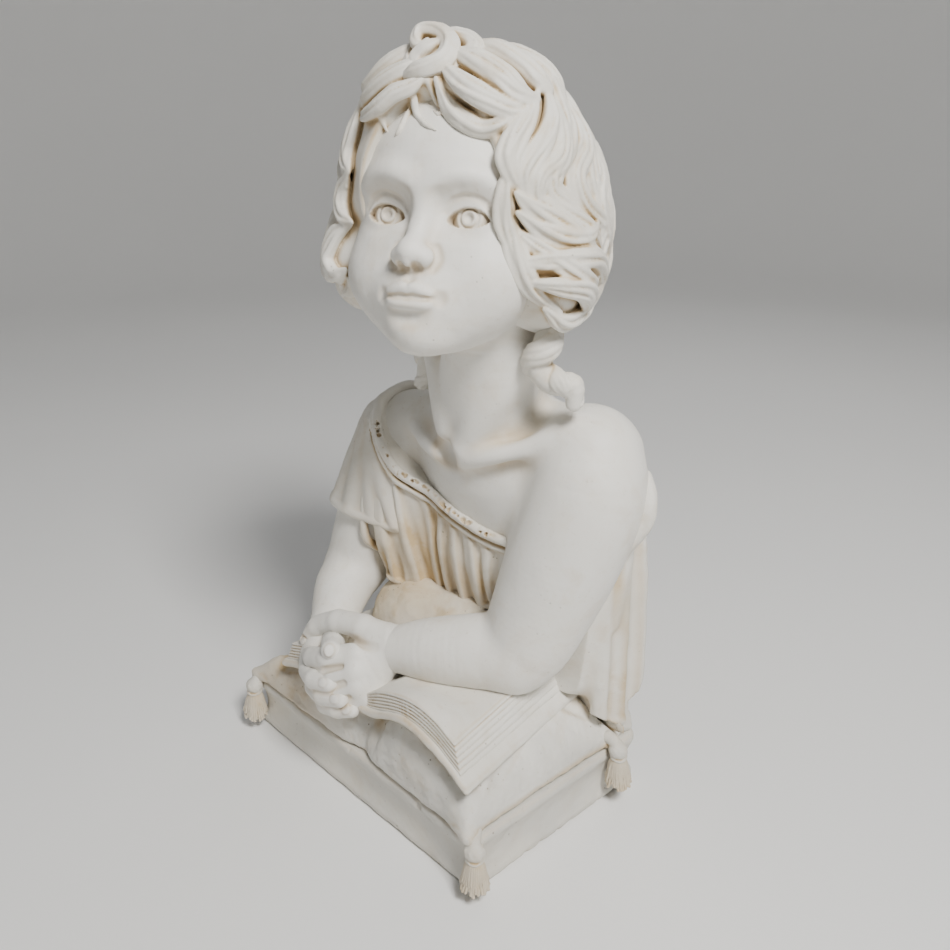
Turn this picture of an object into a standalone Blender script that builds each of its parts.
"""Cast figurine: a child leaning on an open book that lies on a tasselled cushion and a plain plinth.

Row frame: origin at the centre of the plinth's underside, +Z up, the plinth's front towards -Y,
the figure's left towards +X.  All driving dimensions below are in millimetres.
"""
import math

import bmesh
import bpy
from mathutils import Matrix, Vector

for old in list(bpy.data.objects):
    bpy.data.objects.remove(old)

# ---- driving dimensions, millimetres ---------------------------------------------------------
MM = 0.001
GAP = 0.5                                  # clearance cut around a neighbour

PLINTH_SIZE = (200.0, 132.0, 32.0)
PLINTH_CORNER = 9.0
PLINTH_SIDES = [(0.0, 1.2), (1.4, 0.0), (6.0, 0.0), (10.0, 1.4), (16.0, 2.4), (22.0, 1.6),
                (27.0, 0.3), (30.6, 0.3), (32.0, 1.6)]          # (height, inset) of each ring
ROD_PLACE = (12.0, 52.5)                   # x, y of the centre rod
ROD_RADIUS = 3.0
ROD_ENDS = (4.0, 96.0)
RECESS_RADIUS, RECESS_DEPTH = 11.0, 9.0

CUSHION_HALF = (97.5, 55.5)                # half length, half depth
CUSHION_CENTRE = (1.5, -12.0)
CUSHION_BOTTOM = 32.4

BOOK_FRONT, BOOK_BACK = -64.5, 39.0        # y of the two page edges
BOARD_OVERHANG = 2.8
COVER_LINE = [(-65, 60.0), (-52, 65.0), (-40, 69.0), (-28, 72.5), (-16, 74.4), (-5, 73.0), (5, 69.5),
              (14, 67.5), (22, 69.0), (31, 73.0), (41, 77.4), (49, 79.2), (59, 78.8), (72, 75.2),
              (86, 69.0), (96.5, 62.0)]                         # x, z of the boards' upper face
COVER_THICK = 5.0
CUSHION_ENDS = [(-98, 48.0), (-80, 53.0), (100, 52.0)]          # x, z of its top past the boards
LEFT_PAGES = [(15.4, 74.5), (20, 79.0), (28, 83.0), (36, 86.0), (44, 88.4), (52, 89.8), (60, 89.9),
              (70, 88.0), (78, 85.0), (85, 81.0)]               # x, z of the open page at the front
RIGHT_PAGES = [(12.6, 74.5), (8, 79.0), (0, 82.5), (-10, 84.4), (-20, 84.2), (-32, 82.0),
               (-44, 78.4), (-57, 73.4)]
PAGE_REST = 82.0                           # the pages are pressed down to this height behind
PAGE_REST_Y = -44.0
BACK_TAPER = 0.78                          # the left half's width at the back, of that at the front
FORE_SLANT, FORE_FOOT = 0.10, 6.0          # the fore-edge leans in at the top and stands out below

HEAD_CENTRE = Vector((30.0, -6.0, 318.0))
HEAD_TURN, HEAD_LIFT = 24.0, 18.0          # degrees to the figure's left, degrees upwards

LEFT_ARM = [(84, 31, 205, 27), (86, 25, 184, 30), (81, 18, 156, 30.5), (75, 10, 128, 27.5),
            (70, 2, 106, 24.5), (67, -3, 99, 22)]
LEFT_FOREARM = [(66, -4, 98.5, 20.5), (50, -14, 97.5, 19.5), (30, -28, 95, 17.5), (12, -38, 91, 14.8)]
SLEEVE = [(-42, 14, 188, 25.5), (-50, 7, 168, 25.5), (-57, 2, 146, 24)]
RIGHT_ARM = [(-55, 3, 150, 21.5), (-60, -1, 128, 20.5), (-64, -5, 108, 19.5), (-63, -9, 99, 19)]
RIGHT_FOREARM = [(-62, -12, 97, 17.5), (-54, -26, 94, 16), (-45, -38, 89, 13.5)]
NECK = [(22, 24, 200, 30), (28, 14, 222, 26.5), (35, 6, 244, 24.5), (38, 4, 262, 24.5)]
NECKLINE_POINT = (33.0, -12.0, 163.0)
NECKLINE_NORMAL = (0.45, -0.42, 1.0)

SOLIDS = bpy.data.collections.new("marble_bust")
CUTTERS = bpy.data.collections.new("cutters")
bpy.context.scene.collection.children.link(SOLIDS)
bpy.context.scene.collection.children.link(CUTTERS)
CUTTERS.hide_render = True

turn, lift = math.radians(HEAD_TURN), math.radians(HEAD_LIFT)
FACING = Vector((math.sin(turn) * math.cos(lift), -math.cos(turn) * math.cos(lift), math.sin(lift)))
UPWARD = Vector((-math.sin(turn) * math.sin(lift), math.cos(turn) * math.sin(lift), math.cos(lift)))
LEFTWARD = UPWARD.cross(FACING)


# ---- helpers ---------------------------------------------------------------------------------
def link(ob, collection=SOLIDS):
    collection.objects.link(ob)
    if collection is CUTTERS:
        ob.hide_render = True
        ob.display_type = "WIRE"
    return ob


def bake(ob):
    """Apply every modifier of an object to its mesh."""
    graph = bpy.context.evaluated_depsgraph_get()
    mesh = bpy.data.meshes.new_from_object(ob.evaluated_get(graph))
    ob.modifiers.clear()
    ob.data = mesh
    return ob


def tidy_mesh(ob, merge=0.05):
    """Weld near vertices, keep the largest shell, triangulate and face outwards."""
    bm = bmesh.new()
    bm.from_mesh(ob.data)
    bmesh.ops.remove_doubles(bm, verts=bm.verts, dist=merge * MM)
    bmesh.ops.dissolve_degenerate(bm, edges=bm.edges, dist=merge * MM)
    left, shells = set(bm.verts), []
    while left:
        seed = left.pop()
        shell, queue = {seed}, [seed]
        while queue:
            for edge in queue.pop().link_edges:
                for vert in edge.verts:
                    if vert in left:
                        left.discard(vert)
                        shell.add(vert)
                        queue.append(vert)
        shells.append(shell)
    shells.sort(key=len, reverse=True)
    loose = [vert for shell in shells[1:] for vert in shell]
    bmesh.ops.delete(bm, geom=loose, context="VERTS")
    bmesh.ops.triangulate(bm, faces=bm.faces)
    bmesh.ops.recalc_face_normals(bm, faces=bm.faces)
    bm.to_mesh(ob.data)
    bm.free()
    return ob


def loft(name, rings, collection=SOLIDS):
    """Closed body through rings of equal point count."""
    bm = bmesh.new()
    rows = [[bm.verts.new(Vector(point) * MM) for point in ring] for ring in rings]
    count = len(rows[0])
    for low, high in zip(rows, rows[1:]):
        for i in range(count):
            j = (i + 1) % count
            bm.faces.new((low[i], low[j], high[j], high[i]))
    bm.faces.new(list(reversed(rows[0])))
    bm.faces.new(rows[-1])
    bmesh.ops.recalc_face_normals(bm, faces=bm.faces)
    mesh = bpy.data.meshes.new(name)
    bm.to_mesh(mesh)
    bm.free()
    return link(bpy.data.objects.new(name, mesh), collection)


def bar(name, places, radius, collection=SOLIDS, sides=24):
    """Round bar along z between two heights at one place."""
    (x, y), (low, high) = places
    ring = [(x + radius * math.cos(math.tau * k / sides), y + radius * math.sin(math.tau * k / sides))
            for k in range(sides)]
    return loft(name, [[(px, py, low) for px, py in ring], [(px, py, high) for px, py in ring]], collection)


def ball(centre, radii, frame=None):
    """Ellipsoid object; frame is a rotation matrix for its axes."""
    bm = bmesh.new()
    bmesh.ops.create_icosphere(bm, subdivisions=4, radius=1.0)
    turn_matrix = (frame or Matrix.Identity(3)).to_4x4()
    scale = Matrix.Diagonal((radii[0] * MM, radii[1] * MM, radii[2] * MM, 1.0))
    bm.transform(Matrix.Translation(Vector(centre) * MM) @ turn_matrix @ scale)
    mesh = bpy.data.meshes.new("ball")
    bm.to_mesh(mesh)
    bm.free()
    return link(bpy.data.objects.new("ball", mesh), CUTTERS)


def limb(stations):
    """Round tapering limb through (x, y, z, radius) stations, closed with balls."""
    curve = bpy.data.curves.new("limb", "CURVE")
    curve.dimensions = "3D"
    curve.bevel_depth = 1.0 * MM
    curve.bevel_resolution = 4
    curve.use_fill_caps = True
    spline = curve.splines.new("POLY")
    spline.points.add(len(stations) - 1)
    for point, (x, y, z, radius) in zip(spline.points, stations):
        point.co = (x * MM, y * MM, z * MM, 1.0)
        point.radius = radius
    ob = link(bpy.data.objects.new("limb", curve), CUTTERS)
    graph = bpy.context.evaluated_depsgraph_get()
    mesh = bpy.data.meshes.new_from_object(ob.evaluated_get(graph))
    bpy.data.objects.remove(ob)
    return [link(bpy.data.objects.new("limb", mesh), CUTTERS)] + [
        ball(station[:3], (station[3],) * 3) for station in stations]


def blend(name, solids, voxel, smooth=6, faces=500, collection=SOLIDS):
    """Melt overlapping solids into one smooth closed body with about the asked face count."""
    bm = bmesh.new()
    for ob in solids:
        bm.from_mesh(ob.data)
        bpy.data.objects.remove(ob)
    mesh = bpy.data.meshes.new(name)
    bm.to_mesh(mesh)
    bm.free()
    ob = link(bpy.data.objects.new(name, mesh), collection)
    remesh = ob.modifiers.new("melt", "REMESH")
    remesh.mode = "VOXEL"
    remesh.voxel_size = voxel * MM
    soften = ob.modifiers.new("soften", "SMOOTH")
    soften.factor = 0.5
    soften.iterations = smooth
    bake(ob)
    tidy_mesh(ob)
    thin = ob.modifiers.new("thin", "DECIMATE")
    thin.ratio = min(1.0, faces / len(ob.data.polygons))
    return tidy_mesh(bake(ob))


def carve(ob, tool, operation="DIFFERENCE", keep_tool=False):
    """Exact Boolean with a cutter."""
    cut = ob.modifiers.new("cut", "BOOLEAN")
    cut.operation = operation
    cut.solver = "EXACT"
    cut.object = tool
    bake(ob)
    if not keep_tool:
        bpy.data.objects.remove(tool)
    return tidy_mesh(ob)


def clear(ob, neighbour, gap=GAP):
    """Cut a neighbour's slightly enlarged shape out of a body."""
    tool = link(bpy.data.objects.new("room", neighbour.data.copy()), CUTTERS)
    grow = tool.modifiers.new("grow", "DISPLACE")
    grow.mid_level = 0.0
    grow.strength = gap * MM
    bake(tool)
    return carve(ob, tool)


def halfspace(point, normal, size=400.0):
    """Big block filling the side of a plane that the normal points to."""
    bm = bmesh.new()
    bmesh.ops.create_cube(bm, size=size * MM)
    aim = Vector(normal).normalized()
    turn_matrix = Vector((0, 0, 1)).rotation_difference(aim).to_matrix().to_4x4()
    place = Matrix.Translation((Vector(point) + aim * size * 0.5) * MM)
    bm.transform(place @ turn_matrix)
    mesh = bpy.data.meshes.new("halfspace")
    bm.to_mesh(mesh)
    bm.free()
    return link(bpy.data.objects.new("halfspace", mesh), CUTTERS)


def trim(ob, point, normal, gap=0.2):
    """Remove what lies on the normal's side of a plane, leaving half a joint gap."""
    aim = Vector(normal).normalized()
    return carve(ob, halfspace(Vector(point) - aim * gap, aim))


def copy_of(ob, name):
    return link(bpy.data.objects.new(name, ob.data.copy()))


def in_head(left, forward, up):
    """Place in the row frame of a point given in the head's own axes."""
    return HEAD_CENTRE + LEFTWARD * left + FACING * forward + UPWARD * up


HEAD_AXES = Matrix((LEFTWARD, FACING, UPWARD)).transposed()


def head_ball(place, radii):
    return ball(in_head(*place), radii, HEAD_AXES)


def paint(ob, colour, roughness):
    """One Principled material per body, named after it."""
    material = bpy.data.materials.new(ob.name + "_finish")
    material.use_nodes = True
    shader = material.node_tree.nodes["Principled BSDF"]
    shader.inputs["Base Color"].default_value = (*colour, 1.0)
    shader.inputs["Roughness"].default_value = roughness
    ob.data.materials.clear()
    ob.data.materials.append(material)


# ---- plinth ----------------------------------------------------------------------------------
def rounded_outline(half_x, half_y, corner, height, steps=4):
    ring = []
    for quarter, (sx, sy) in enumerate([(1, 1), (-1, 1), (-1, -1), (1, -1)]):
        for k in range(steps + 1):
            angle = math.pi / 2 * (quarter + k / steps)
            ring.append((sx * (half_x - corner) + corner * math.cos(angle),
                         sy * (half_y - corner) + corner * math.sin(angle), height))
    return ring


plinth = loft("plinth", [rounded_outline(PLINTH_SIZE[0] / 2 - inset, PLINTH_SIZE[1] / 2 - inset,
                                         PLINTH_CORNER - inset, height)
                         for height, inset in PLINTH_SIDES])
carve(plinth, bar("recess", (ROD_PLACE, (-5.0, RECESS_DEPTH)), RECESS_RADIUS, CUTTERS))
carve(plinth, bar("bore", (ROD_PLACE, (-5.0, 60.0)), ROD_RADIUS + 0.5, CUTTERS))

# ---- centre rod with its washer and nut ------------------------------------------------------
centre_rod = bar("centre_rod", (ROD_PLACE, ROD_ENDS), ROD_RADIUS)
rod_washer = bar("rod_washer", (ROD_PLACE, (7.2, 8.7)), 9.0)
carve(rod_washer, bar("bore", (ROD_PLACE, (0.0, 20.0)), ROD_RADIUS + 0.4, CUTTERS))
rod_nut = bar("rod_nut", (ROD_PLACE, (1.6, 6.9)), 6.4, sides=6)
carve(rod_nut, bar("bore", (ROD_PLACE, (0.0, 20.0)), ROD_RADIUS + 0.4, CUTTERS))


# ---- cushion: two swells under the book's halves, thin at its corners ------------------------
def height_on(line, x):
    """Height at x on a line of (x, z) places."""
    line = sorted(line)
    for (x0, z0), (x1, z1) in zip(line, line[1:]):
        if x0 <= x <= x1:
            return z0 + (z1 - z0) * (x - x0) / (x1 - x0)
    return line[0][1] if x < line[0][0] else line[-1][1]


CUSHION_LINE = [(x, z - COVER_THICK + 1.0) for x, z in COVER_LINE] + CUSHION_ENDS


def pillow(u, v, w):
    """Place of a cube point (each coordinate -1..1) on the cushion."""
    sag = 1.0 - 0.04 * (1.0 - v * v) * abs(u) ** 3
    waist = 1.0 - 0.06 * (1.0 - u * u) * abs(v) ** 3
    x = CUSHION_CENTRE[0] + CUSHION_HALF[0] * u * sag
    y = CUSHION_CENTRE[1] + CUSHION_HALF[1] * v * waist
    fullness = (1.0 - abs(u) ** 6) ** 0.5 * (1.0 - abs(v) ** 5) ** 0.45
    middle = CUSHION_BOTTOM + 9.0 - 5.0 * abs(u * v) ** 3
    high = middle + (height_on(CUSHION_LINE, x) - middle) * (0.08 + 0.92 * fullness)
    low = middle + (CUSHION_BOTTOM - middle) * (0.12 + 0.88 * min(1.0, 1.6 * fullness))
    return Vector((x, y, low + (high - low) * (w + 1.0) / 2.0)) * MM


bm = bmesh.new()
bmesh.ops.create_cube(bm, size=2.0)
bmesh.ops.subdivide_edges(bm, edges=bm.edges, cuts=11, use_grid_fill=True)
for vert in bm.verts:
    u, v, w = (math.sin(c * math.pi / 2) for c in vert.co)
    vert.co = pillow(u, v, w)
mesh = bpy.data.meshes.new("cushion")
bm.to_mesh(mesh)
bm.free()
cushion = tidy_mesh(link(bpy.data.objects.new("cushion", mesh)))

# ---- tassels: a knot on a short flared skirt, turned round a bent axis ------------------------
TASSEL_PROFILE = [(0.0, 0.0), (2.6, -0.8), (4.6, -3.2), (4.8, -6.2), (3.7, -8.6), (4.6, -10.4),
                  (6.4, -15.0), (7.4, -21.0), (7.0, -25.0), (4.6, -26.4), (0.0, -26.8)]
TASSELS = {"tassel_front_left": ((102.5, -66.8, 34.5), -45.0),      # top and heading of each lean
           "tassel_front_right": ((-93.5, -70.5, 34.5), -100.0),
           "tassel_back_left": ((105.5, 39.0, 40.0), 0.0),
           "tassel_back_right": ((-105.5, 39.0, 40.0), 180.0)}


def tassel(name, top, heading):
    bm = bmesh.new()
    line = [bm.verts.new(Vector((radius, 0.0, height)) * MM) for radius, height in TASSEL_PROFILE]
    for a, b in zip(line, line[1:]):
        bm.edges.new((a, b))
    mesh = bpy.data.meshes.new(name)
    bm.to_mesh(mesh)
    bm.free()
    ob = link(bpy.data.objects.new(name, mesh))
    spin = ob.modifiers.new("spin", "SCREW")
    spin.steps = spin.render_steps = 16
    spin.use_merge_vertices = True
    spin.merge_threshold = 0.0001
    bake(ob)
    lean = Matrix.Rotation(math.radians(heading), 4, "Z") @ Matrix.Rotation(math.radians(-4.0), 4, "Y")
    ob.data.transform(Matrix.Translation(Vector(top) * MM) @ lean)
    return tidy_mesh(ob)


tassels = [tassel(name, *place) for name, place in TASSELS.items()]


# ---- book ------------------------------------------------------------------------------------
def draped(name, outline_at, stations):
    """Loft from the book's front to its back; outline_at gives the outline at one y."""
    return loft(name, [[(x, y, z) for x, z in outline_at(y)] for y in stations])


def taper(x, y):
    """The left half of the book narrows towards the back."""
    share = (y - BOOK_FRONT) / (BOOK_BACK - BOOK_FRONT)
    hinge = COVER_LINE[7][0]
    return x if x < hinge else hinge + (x - hinge) * (1.0 + (BACK_TAPER - 1.0) * share)


def board_outline(y):
    upper = [(taper(x, y), z) for x, z in COVER_LINE]
    return upper + [(x, z - COVER_THICK) for x, z in reversed(upper)]


def page_outline(top_line):
    """Outline of a page block: its top is pressed down behind, and its fore-edge slants more."""
    def outline(y):
        pressed = min(1.0, max(0.0, (y - BOOK_FRONT) / (PAGE_REST_Y - BOOK_FRONT)))
        top = []
        for x, z in top_line:
            slant = FORE_SLANT * max(0.0, (x - 50.0) / 35.0) * (y - BOOK_FRONT) / (BOOK_BACK - BOOK_FRONT)
            top.append((taper(x, y) * (1.0 - slant), z + (min(z, PAGE_REST) - z) * pressed))
        edge_x = top_line[-1][0]
        foot = edge_x + (FORE_FOOT if edge_x > 0 else -FORE_FOOT)
        ends = sorted((foot, top_line[0][0]))
        lower = ends + [x for x, _ in COVER_LINE if ends[0] + 1.0 < x < ends[1] - 1.0]
        lower.sort(reverse=edge_x > 0)
        return top + [(taper(x, y), height_on(COVER_LINE, x) + GAP) for x in lower]
    return outline


BOOK_STATIONS = (BOOK_FRONT, -54.0, PAGE_REST_Y, 0.0, BOOK_BACK)
BOARD_STATIONS = (BOOK_FRONT - BOARD_OVERHANG, *BOOK_STATIONS, BOOK_BACK + BOARD_OVERHANG)
book_cover = draped("book_cover", board_outline, BOARD_STATIONS)
left_page_block = draped("left_page_block", page_outline(LEFT_PAGES), BOOK_STATIONS)
right_page_block = draped("right_page_block", page_outline(RIGHT_PAGES), BOOK_STATIONS)
clear(cushion, book_cover)
for ob in tassels:
    clear(ob, cushion)
    clear(ob, plinth)

# ---- arms and hands --------------------------------------------------------------------------
left_arm = blend("left_arm", limb(LEFT_ARM) + limb(LEFT_FOREARM), 3.0, faces=900)
right_arm = blend("right_arm", limb(RIGHT_ARM) + limb(RIGHT_FOREARM), 3.0, faces=700)
LEFT_HAND = [ball((0, -48, 88), (15, 13, 9)),
             *limb([(6, -43, 89.5, 12.5), (-2, -50, 88, 12.5)]),
             *limb([(-8, -48, 89, 5.6), (-22, -51, 90, 5.2), (-35, -56, 85, 4.8), (-40, -60, 76, 4.4)]),
             *limb([(-7, -54, 87, 5.6), (-20, -60, 87, 5.2), (-31, -66, 81, 4.8), (-34, -69, 72, 4.3)]),
             *limb([(-4, -58, 84, 5.4), (-14, -67, 83, 5.0), (-23, -73, 76, 4.6), (-25, -74, 68, 4.1)]),
             *limb([(2, -58, 80, 5.2), (-5, -69, 78, 4.6), (-13, -76, 71, 4.2), (-15, -76, 64, 3.8)]),
             *limb([(2, -42, 93, 6.4), (-8, -40, 97, 5.6), (-21, -42, 99, 4.6)])]
RIGHT_HAND = [ball((-44, -48, 86), (12, 11, 10)),
              *limb([(-45, -38, 88.5, 11), (-44, -48, 85, 11)]),
              *limb([(-40, -48, 92, 7.0), (-33, -55, 97, 6.6), (-25, -62, 98, 6.2)]),
              *limb([(-46, -54, 84, 6.4), (-48, -68, 78, 5.8), (-40, -75, 74, 5.0)]),
              *limb([(-47, -56, 79, 6.4), (-47, -70, 68, 5.8), (-36, -77, 65, 5.0)]),
              *limb([(-46, -66, 70, 6.0), (-40, -72, 60, 5.4), (-24, -77, 56, 5.0)])]
left_hand = blend("left_hand", LEFT_HAND, 1.5, smooth=3, faces=1100)
right_hand = blend("right_hand", RIGHT_HAND, 1.5, smooth=3, faces=900)
WRIST_LEFT, WRIST_RIGHT = (9.0, -41.0, 90.0), (-44.0, -39.5, 88.0)
trim(left_arm, WRIST_LEFT, (-0.78, -0.6, -0.15))
trim(left_hand, WRIST_LEFT, (0.78, 0.6, 0.15))
trim(right_arm, WRIST_RIGHT, (0.45, -0.8, -0.35))
trim(right_hand, WRIST_RIGHT, (-0.45, 0.8, 0.35))
clear(right_hand, left_hand)
for ob in (left_hand, right_hand):
    for other in (right_arm, book_cover, left_page_block, right_page_block, cushion):
        clear(ob, other)
for ob in (left_arm, right_arm):
    for other in (left_page_block, right_page_block, book_cover):
        clear(ob, other)

# ---- body: bare torso above the neckline, tunic below it --------------------------------------
BODY = [((18, 31, 184), (60, 33, 36)), ((18, 36, 140), (58, 36, 60)), ((16, 42, 92), (66, 34, 50)),
        ((56, 34, 178), (40, 30, 36))]


def body_shape(extra):
    solids = [ball(centre, [r + extra for r in radii]) for centre, radii in BODY]
    solids += limb([(-42, 16, 192, 19 + extra), (22, 28, 203, 22 + extra), (76, 33, 207, 22 + extra)])
    return solids


torso = blend("torso", body_shape(0.0) + limb(NECK), 4.0, smooth=10, faces=900)
trim(torso, NECKLINE_POINT, (-0.45, 0.42, -1.0))
tunic = blend("tunic", body_shape(2.0) + limb([(92, 44, 160, 17), (94, 50, 110, 18), (90, 52, 70, 17)])
              + limb([(60, 62, 170, 14), (66, 62, 110, 17), (70, 60, 70, 14)]), 4.0, smooth=10, faces=1100)
trim(tunic, NECKLINE_POINT, NECKLINE_NORMAL)
trim(tunic, (0.0, 0.0, 60.5), (0.0, 0.0, -1.0))
sleeve = blend("sleeve", limb(SLEEVE), 3.0, faces=500)
trim(sleeve, (-57, 2, 141), (-0.25, -0.25, -1.0))
trim(right_arm, (-57, 2, 141), (0.25, 0.25, 1.0))

# ---- rounded support between the arms, and the block behind the cushion -----------------------
support_mound = blend("support_mound", [ball((-8, 2, 84), (34, 26, 30))], 3.0, faces=500)
back_block = loft("back_block", [[(-80, 44.6, z), (96 - inset, 44.6, z), (98 - inset, 50, z),
                                  (97 - inset, 64 - inset, z), (-78 + inset, 64 - inset, z)]
                                 for z, inset in [(32.4, 0.0), (40.0, 0.6), (52.0, 3.0), (60.0, 6.0)]])
carve(back_block, bar("bore", (ROD_PLACE, (20.0, 80.0)), ROD_RADIUS + 0.5, CUTTERS))
carve(tunic, bar("bore", (ROD_PLACE, (20.0, ROD_ENDS[1] + 0.5)), ROD_RADIUS + 0.5, CUTTERS))
for ob in (cushion, left_page_block, right_page_block, book_cover, left_arm, right_arm, sleeve):
    clear(tunic, ob)
for ob in (left_page_block, right_page_block, book_cover, right_arm, left_arm, left_hand, right_hand, tunic):
    clear(support_mound, ob)
for ob in (tunic, sleeve, left_arm):
    clear(torso, ob)
for ob in (cushion, book_cover):
    clear(back_block, ob)

# ---- head ------------------------------------------------------------------------------------
head = blend("head", [head_ball((0, -6, 10), (49, 59, 52)), head_ball((0, 12, -20), (41, 38, 43)),
                      head_ball((0, 30, -52), (20, 16, 15)), head_ball((0, 50, -16), (7, 9, 9)),
                      *limb([NECK[-1], NECK[-2]])], 3.0, smooth=6, faces=1100)
NECK_PLANE, NECK_AIM = (36.0, 5.0, 250.0), (0.25, -0.42, 1.0)
trim(head, NECK_PLANE, [-c for c in NECK_AIM])
trim(torso, NECK_PLANE, NECK_AIM)
neck_dowel = blend("neck_dowel", limb([(31, 11, 236, 3.0), (38, 1, 262, 3.0)])[:1], 0.8, smooth=0, faces=200)
clear(head, neck_dowel)
clear(torso, neck_dowel)
clear(torso, head)

# ---- hair: a cap of lobes round the skull, parted into its modelled sections ------------------
HAIR = [((0, -10, 14), (59, 66, 58)), ((0, 14, 44), (46, 38, 30)), ((34, -16, -6), (31, 44, 50)),
        ((-34, -16, -4), (31, 44, 48)), ((0, -44, -10), (48, 34, 46)), ((50, 0, -26), (17, 24, 26)),
        ((-50, 0, -24), (16, 24, 28))]
lobes = [head_ball(place, radii) for place, radii in HAIR]
hair = blend("hair", lobes, 3.0, smooth=4, faces=3400, collection=CUTTERS)
opening = blend("opening", [head_ball((0, 62, -20), (39, 42, 62)), head_ball((0, 74, -60), (40, 60, 50))],
                3.0, faces=600, collection=CUTTERS)
carve(hair, opening)
clear(hair, head)
clear(hair, torso)


def lock_section(name, planes):
    """Share of the hair cap between planes given in head axes as (point, normal)."""
    ob = copy_of(hair, name)
    for point, normal in planes:
        aim = HEAD_AXES @ Vector(normal)
        trim(ob, in_head(*point), aim)
    return ob


TOP_LEFT, TOP_RIGHT, REAR = (30.0, 0.0, 44.0), (-30.0, 0.0, 44.0), (0.0, -26.0, 0.0)
AHEAD = (REAR, (0, -1, 0))
hair_crown = lock_section("hair_crown", [(TOP_LEFT, (1, 0, -0.8)), (TOP_RIGHT, (-1, 0, -0.8)), AHEAD])
hair_left = lock_section("hair_left", [(TOP_LEFT, (-1, 0, 0.8)), AHEAD])
hair_right = lock_section("hair_right", [(TOP_RIGHT, (1, 0, 0.8)), AHEAD])
hair_back = lock_section("hair_back", [(REAR, (0, 1, 0))])
bpy.data.objects.remove(hair)


def head_limb(*stations):
    """Limb through (left, forward, up, radius) stations in the head's axes."""
    return limb([(*in_head(*station[:3]), station[3]) for station in stations])


forelock = blend("forelock", head_limb((4, 34, 60, 9), (0, 36, 68, 9), (0, 31, 73.5, 8))
                 + head_limb((-8, 22, 60, 9), (-12, 22, 66, 8.5)), 2.0, faces=500)
clear(forelock, hair_crown)
clear(forelock, head)

# ---- loose ringlets on the neck ---------------------------------------------------------------
left_ringlets = blend("left_ringlets",
                      limb([(72, 10, 272, 9), (77, 6, 256, 9.5), (85, 12, 244, 8.5), (88, 18, 238, 7)])
                      + limb([(78, 20, 272, 8), (84, 22, 260, 8), (88, 28, 248, 7.5), (90, 32, 240, 6.5)]),
                      2.0, faces=600)
right_ringlet = blend("right_ringlet", limb([(-18, 22, 268, 8), (-16, 20, 250, 8.5), (-22, 18, 236, 8),
                                             (-20, 14, 226, 6.5)]), 2.0, faces=350)
for ob in (left_ringlets, right_ringlet):
    for other in (hair_left, hair_right, hair_back, torso, left_arm, head, sleeve):
        clear(ob, other)

# ---- finishes --------------------------------------------------------------------------------
CAST, SHADED, METAL = (0.74, 0.71, 0.64), (0.66, 0.63, 0.56), (0.42, 0.41, 0.40)
for ob in list(SOLIDS.objects):
    if ob.name in ("centre_rod", "rod_washer", "rod_nut", "neck_dowel"):
        paint(ob, METAL, 0.4)
    elif ob.name in ("plinth", "cushion", "back_block", "support_mound", *TASSELS):
        paint(ob, SHADED, 0.6)
    else:
        paint(ob, CAST, 0.55)
    print(ob.name, len(ob.data.polygons))
